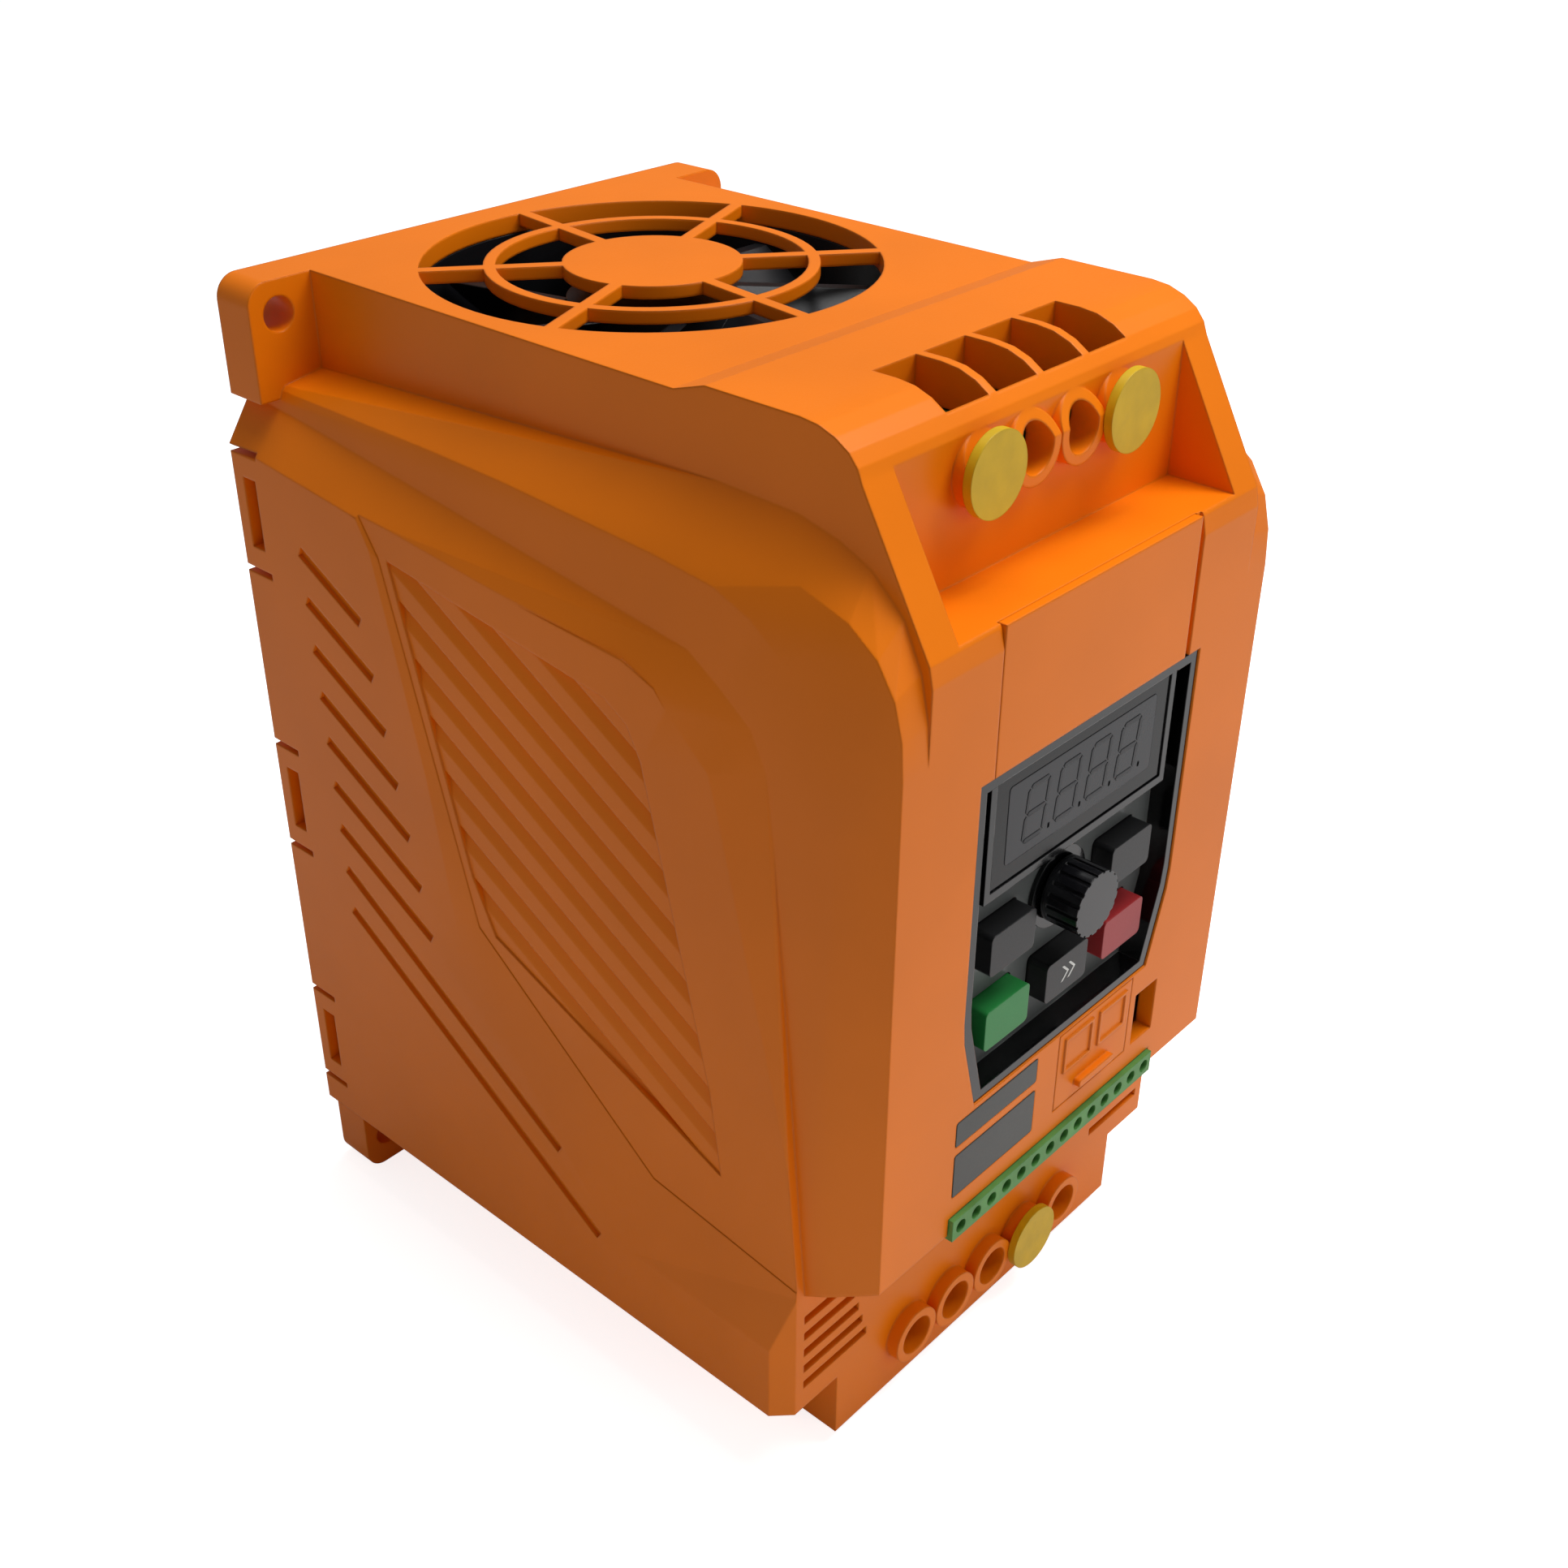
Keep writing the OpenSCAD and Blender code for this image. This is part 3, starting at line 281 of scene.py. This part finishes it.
# Keypad. A gloss black bezel lets into the front, with a grey switch plate, a display
# under a smoked pane, and windows for five keys and a speed knob.
BEZEL_BLACK = (0.06, 0.06, 0.065)
PLATE_GREY = (0.37, 0.38, 0.375)
PANE_BLACK = (0.05, 0.05, 0.055)
PANE_GREY = (0.21, 0.21, 0.22)
SEGMENT_GREY = (0.17, 0.17, 0.18)
KEY_BLACK = (0.12, 0.12, 0.125)
KEY_GREEN = (0.16, 0.52, 0.25)
KEY_RED = (0.62, 0.17, 0.18)
bezel_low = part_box("keypad_bezel")[0]
pane_low, pane_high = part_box("display_window")
TRAY_DEPTH = 3.3 * MM
TRAY_STEP = 0.02 * MM
TRAY_ROUGHNESS = 0.42


def two_tone(name, shade, inner, axis, border, soft, roughness, coat):
    """Gloss plastic whose shade changes to inner where the place along axis is past border."""
    finish = moulded_plastic(name, shade, roughness, coat=coat)
    shader = finish.node_tree.nodes["Principled BSDF"]
    new = finish.node_tree.nodes.new
    place = new("ShaderNodeTexCoord")
    parts = new("ShaderNodeSeparateXYZ")
    join(finish, place.outputs["Object"], parts.inputs["Vector"])
    step = new("ShaderNodeMapRange")
    step.inputs["From Min"].default_value = border - soft
    step.inputs["From Max"].default_value = border + soft
    join(finish, parts.outputs[axis], step.inputs["Value"])
    blend = new("ShaderNodeMix")
    blend.data_type = "RGBA"
    was = shader.inputs["Base Color"].links[0].from_socket
    join(finish, step.outputs["Result"], blend.inputs[0])
    join(finish, was, blend.inputs[6])
    blend.inputs[7].default_value = tint(inner)
    join(finish, blend.outputs[2], shader.inputs["Base Color"])
    matt = new("ShaderNodeMix")
    join(finish, step.outputs["Result"], matt.inputs[0])
    join(finish, shader.inputs["Roughness"].links[0].from_socket, matt.inputs[2])
    matt.inputs[3].default_value = TRAY_ROUGHNESS
    join(finish, matt.outputs[0], shader.inputs["Roughness"])
    return finish


tray = bezel_low.y + TRAY_DEPTH
dress("keypad_bezel", two_tone("panel_gloss_black", BEZEL_BLACK, PLATE_GREY, "Y", tray, TRAY_STEP,
                               roughness=0.12, coat=0.3))
dress("display_window", moulded_plastic("display_black", PANE_BLACK, roughness=0.14, shine_level=0.3))
dress("display_module", moulded_plastic("display_grey", PANE_GREY, roughness=0.5))


def flat_piece(name, outlines, front, depth, body, finish):
    """Plates standing depth deep behind the plane y = front, one for each outline of (x, z) points."""
    mesh = bpy.data.meshes.new(name)
    build = bmesh.new()
    for outline in outlines:
        rims = [[build.verts.new((x, front + d, z)) for x, z in outline] for d in (0.0, depth)]
        build.faces.new(rims[0])
        build.faces.new(rims[1][::-1])
        for k in range(len(outline)):
            m = (k + 1) % len(outline)
            build.faces.new((rims[0][k], rims[1][k], rims[1][m], rims[0][m]))
    bmesh.ops.recalc_face_normals(build, faces=build.faces)
    build.to_mesh(mesh)
    build.free()
    piece = bpy.data.objects.new(name, mesh)
    scene.collection.objects.link(piece)
    mesh.materials.append(finish)
    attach(piece, body)
    return piece


def rounded_box(x0, x1, z0, z1, radius, steps=6):
    """Outline of a rectangle with round corners."""
    points = []
    for cx, cz, start in ((x1 - radius, z1 - radius, 0), (x0 + radius, z1 - radius, 90),
                          (x0 + radius, z0 + radius, 180), (x1 - radius, z0 + radius, 270)):
        for k in range(steps + 1):
            turn = math.radians(start + 90 * k / steps)
            points.append((cx + radius * math.cos(turn), cz + radius * math.sin(turn)))
    return points


# Display face. A grey tinted window film lies on the black pane, and on it show the four
# unlit digits of the display, each of seven bars and a point.
scene = bpy.context.scene
WINDOW_THICK = 0.05 * MM
WINDOW_SIDE = 2.6 * MM
WINDOW_RISE = 2.3 * MM
WINDOW_CORNER = 0.6 * MM
window_outline = rounded_box(pane_low.x + WINDOW_SIDE, pane_high.x - WINDOW_SIDE,
                             pane_low.z + WINDOW_RISE, pane_high.z - WINDOW_RISE, WINDOW_CORNER)
flat_piece("display_tint", [window_outline], pane_low.y - WINDOW_THICK, WINDOW_THICK, "case",
           moulded_plastic("window_grey", PANE_GREY, roughness=0.2, shine_level=0.3))
DIGIT_COUNT = 4
DIGIT_PITCH = 6.3 * MM
DIGIT_WIDE = 3.9 * MM
DIGIT_HIGH = 7.0 * MM
BAR = 0.32 * MM
LEAN = 0.12
END_GAP = 0.4


def bar(x0, z0, x1, z1):
    """Outline of one bar of a digit, pointed at both ends."""
    along = Vector((x1 - x0, z1 - z0)).normalized()
    across = Vector((-along.y, along.x)) * BAR
    start = Vector((x0, z0)) + along * BAR * END_GAP
    end = Vector((x1, z1)) - along * BAR * END_GAP
    return [start, start + along * BAR - across, end - along * BAR - across, end,
            end - along * BAR + across, start + along * BAR + across]


bars = []
middle = (pane_low + pane_high) / 2
for digit in range(DIGIT_COUNT):
    cx = (digit - (DIGIT_COUNT - 1) / 2) * DIGIT_PITCH
    w, h = DIGIT_WIDE / 2, DIGIT_HIGH / 2
    ends = [(-w, h, w, h), (-w, 0, w, 0), (-w, -h, w, -h), (-w, 0, -w, h), (w, 0, w, h), (-w, -h, -w, 0),
            (w, -h, w, 0), (w + 3 * BAR, -h, w + 5 * BAR, -h)]
    for x0, z0, x1, z1 in ends:
        bars.append([(cx + p.x + LEAN * p.y, middle.z + p.y) for p in bar(x0, z0, x1, z1)])
flat_piece("display_digits", bars, pane_low.y - 2 * WINDOW_THICK, WINDOW_THICK, "case",
           moulded_plastic("segment_grey", SEGMENT_GREY, roughness=0.3, shine_level=0.3))

# Keys and knob. Moulded keys stand in the tray's windows, the shift key printed with two
# white chevrons, and a ribbed black knob turns on the potentiometer.
key_black = moulded_plastic("key_black", KEY_BLACK, roughness=0.33)
dress("key_menu", key_black)
dress("key_jog", key_black)
dress("key_shift", key_black)
dress("key_run", moulded_plastic("key_green", KEY_GREEN, roughness=0.36))
dress("key_stop", moulded_plastic("key_red", KEY_RED, roughness=0.36))
PRINT_WHITE = (0.88, 0.88, 0.86)
CHEVRON_HIGH = 2.4 * MM
CHEVRON_WIDE = 1.2 * MM
STROKE = 0.45 * MM
CHEVRON_OFFSETS = (-1.1 * MM, 0.3 * MM)
PRINT_PROUD = 0.02 * MM
PRINT_DEPTH = 0.1 * MM
shift_low, shift_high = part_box("key_shift")
shift_middle = (shift_low + shift_high) / 2
chevrons = []
for offset in CHEVRON_OFFSETS:
    x, z = shift_middle.x + offset, shift_middle.z
    up = CHEVRON_HIGH / 2
    chevrons.append([(x, z + up), (x + STROKE, z + up), (x + CHEVRON_WIDE + STROKE, z), (x + STROKE, z - up),
                     (x, z - up), (x + CHEVRON_WIDE, z)])
flat_piece("shift_key_print", chevrons, shift_low.y - PRINT_PROUD, PRINT_DEPTH, "shift_key",
           moulded_plastic("print_white", PRINT_WHITE, roughness=0.5, patch=2 * MM))
dress("key_switches", epoxy)
dress("potentiometer", relay_case)
dress("knob", moulded_plastic("knob_black", FAN_BLACK, roughness=0.22, coat=0.3))

# Plugs and plates. Yellow plugs press into three of the screw tubes, and two blank grey
# plates are stuck to the front below the keypad.
PLUG_YELLOW = (0.82, 0.67, 0.08)
FILM_GREY = (0.24, 0.25, 0.24)
plug_plastic = moulded_plastic("plug_yellow", PLUG_YELLOW, roughness=0.4, patch=4 * MM)
for node in ("cap_left", "cap_right", "cap_lower"):
    dress(node, plug_plastic)
plate_film = moulded_plastic("label_grey", FILM_GREY, roughness=0.3)
dress("label_upper", plate_film)
dress("label_lower", plate_film)

# Studio. A pale paper floor and an even world that show as white to the eye, a soft lamp
# above the front right, a weaker one low in front, and one overhead.
low, high = cad_box
FLOOR_SIZE = 3.0
WORLD_LIGHT = 0.22
PAPER_WHITE = (0.96, 0.96, 0.96)
PAPER_ROUGHNESS = 0.9
PAPER_PATCH = 60 * MM
PAPER_GLOW = 0.8
scene.view_settings.view_transform = "Standard"


def white_world(strength):
    """Even studio light of that strength, which shows as plain white to the eye and through glass."""
    world = bpy.data.worlds.new("studio")
    scene.world = world
    world.use_nodes = True
    tree = world.node_tree
    back = tree.nodes["Background"]
    back.inputs["Color"].default_value = (1, 1, 1, 1)
    rays = tree.nodes.new("ShaderNodeLightPath")
    seen = tree.nodes.new("ShaderNodeMath")
    seen.operation = "MAXIMUM"
    tree.links.new(rays.outputs["Is Camera Ray"], seen.inputs[0])
    tree.links.new(rays.outputs["Is Transmission Ray"], seen.inputs[1])
    level = tree.nodes.new("ShaderNodeMapRange")
    level.inputs["To Min"].default_value = strength
    level.inputs["To Max"].default_value = 1.0
    tree.links.new(seen.outputs["Value"], level.inputs["Value"])
    tree.links.new(level.outputs["Result"], back.inputs["Strength"])


white_world(WORLD_LIGHT)
floor_mesh = bpy.data.meshes.new("floor")
rim = FLOOR_SIZE / 2
floor_mesh.from_pydata([(-rim, -rim, low.z), (rim, -rim, low.z), (rim, rim, low.z), (-rim, rim, low.z)],
                       [], [(0, 1, 2, 3)])
floor = bpy.data.objects.new("floor", floor_mesh)
scene.collection.objects.link(floor)
paper, paper_shader, paper_add = new_finish("floor_paper", PAPER_ROUGHNESS)
mottle(paper, paper_shader, paper_add, PAPER_WHITE, PAPER_PATCH, low=0.99, high=1.01)
paper_shader.inputs["Emission Color"].default_value = (1, 1, 1, 1)
rays = paper_add("ShaderNodeLightPath")
glow = paper_add("ShaderNodeMapRange", Value=rays.outputs["Is Camera Ray"])
glow.inputs["To Max"].default_value = PAPER_GLOW
join(paper, glow.outputs["Result"], paper_shader.inputs["Emission Strength"])
floor_mesh.materials.append(paper)


def lamp(name, azimuth, height, reach, size, power):
    """A square soft lamp at a distance reach, aimed at the middle of the object."""
    light = bpy.data.lights.new(name, "AREA")
    light.size = size
    light.energy = power
    thing = bpy.data.objects.new(name, light)
    scene.collection.objects.link(thing)
    a, e = math.radians(azimuth), math.radians(height)
    aim = Vector((math.sin(a) * math.cos(e), -math.cos(a) * math.cos(e), math.sin(e)))
    thing.location = (low + high) / 2 + aim * reach
    thing.rotation_mode = "QUATERNION"
    thing.rotation_quaternion = (-aim).to_track_quat("-Z", "Y")


lamp("key_lamp", azimuth=50, height=62, reach=0.6, size=0.3, power=2.0)
lamp("front_lamp", azimuth=8, height=14, reach=0.9, size=0.4, power=1.0)
lamp("top_lamp", azimuth=100, height=84, reach=0.6, size=0.25, power=1.3)

# Camera. A plain lens that looks down on the front left corner of the case,
# from above and to its left.
CAMERA_PLACE = (-0.16442, -0.20284, 0.13631)
CAMERA_AZIMUTH = -48.346
CAMERA_HEIGHT = 31.304
CAMERA_ROLL = 0.469
LENS = 43.28
SENSOR = 36.0
NEAREST = 0.01
FARTHEST = 10.0
camera = bpy.data.objects.new("camera", bpy.data.cameras.new("camera"))
scene.collection.objects.link(camera)
scene.camera = camera
camera.data.lens = LENS
camera.data.sensor_width = SENSOR
camera.data.clip_start = NEAREST
camera.data.clip_end = FARTHEST
a, e, r = (math.radians(v) for v in (CAMERA_AZIMUTH, CAMERA_HEIGHT, CAMERA_ROLL))
back = Vector((math.sin(a) * math.cos(e), -math.cos(a) * math.cos(e), math.sin(e)))
right = Vector((math.cos(a), math.sin(a), 0.0))
up = back.cross(right)
right_rolled = right * math.cos(r) + up * math.sin(r)
up_rolled = up * math.cos(r) - right * math.sin(r)
turn = Matrix((right_rolled, up_rolled, back)).transposed()
camera.matrix_world = Matrix.Translation(CAMERA_PLACE) @ turn.to_4x4()
